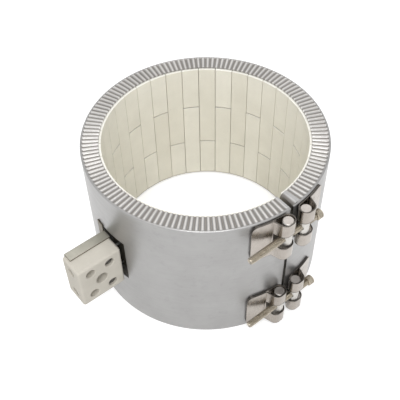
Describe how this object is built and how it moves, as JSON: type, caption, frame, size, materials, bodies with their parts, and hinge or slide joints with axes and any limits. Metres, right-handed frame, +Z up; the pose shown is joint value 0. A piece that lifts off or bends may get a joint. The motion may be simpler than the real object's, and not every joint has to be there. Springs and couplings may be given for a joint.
{
  "type": "ceramic band heater",
  "caption": "Split cylindrical band heater with ceramic tile lining, serrated sheet shell, strap clamps with barrel pins and a ceramic terminal block.",
  "frame": {"origin": "centre of the bore at mid height", "axes": "+Z up along the bore axis, +X through the split and its clamps, -Y towards the terminal block"},
  "size_m": [0.19, 0.2163, 0.12],
  "materials": {
    "shell": "satin galvanised sheet",
    "tile": "unglazed cream ceramic",
    "fibre": "white fibre blanket",
    "bracket": "dull sheet",
    "block": "unglazed cream ceramic",
    "brass": "plain brass",
    "fixing": "zinc plated",
    "strap": "bright sheet",
    "barrel": "bright turned",
    "screw": "yellow zinc plated",
    "lead": "plain wire"
  },
  "bodies": {
    "heater": {"outer_shell": "shell", "insulation_blanket": "fibre", "short_tiles_top": "tile", "long_tiles_bottom": "tile", "long_tiles_top": "tile", "short_tiles_bottom": "tile", "lead_wires": "lead", "terminal_bracket": "bracket", "terminal_block": "block", "terminal_insert_upper": "brass", "terminal_insert_lower": "brass", "terminal_screws": "fixing", "block_screw": "fixing", "straps_left": "strap", "straps_right": "strap", "nut_barrel_upper": "barrel", "nut_barrel_lower": "barrel", "plain_barrels": "barrel"},
    "upper_screw": {"clamp_screw_upper": "screw"},
    "lower_screw": {"clamp_screw_lower": "screw"}
  },
  "joints": [
    {"name": "upper_screw_turn", "type": "hinge", "parent": "heater", "child": "upper_screw", "pos_m": [0.09489, 0, 0.0408], "axis": [0, 1, 0], "range_deg": [0, 900]},
    {"name": "lower_screw_turn", "type": "hinge", "parent": "heater", "child": "lower_screw", "pos_m": [0.09489, 0, -0.0408], "axis": [0, 1, 0], "range_deg": [0, 900]}
  ]
}
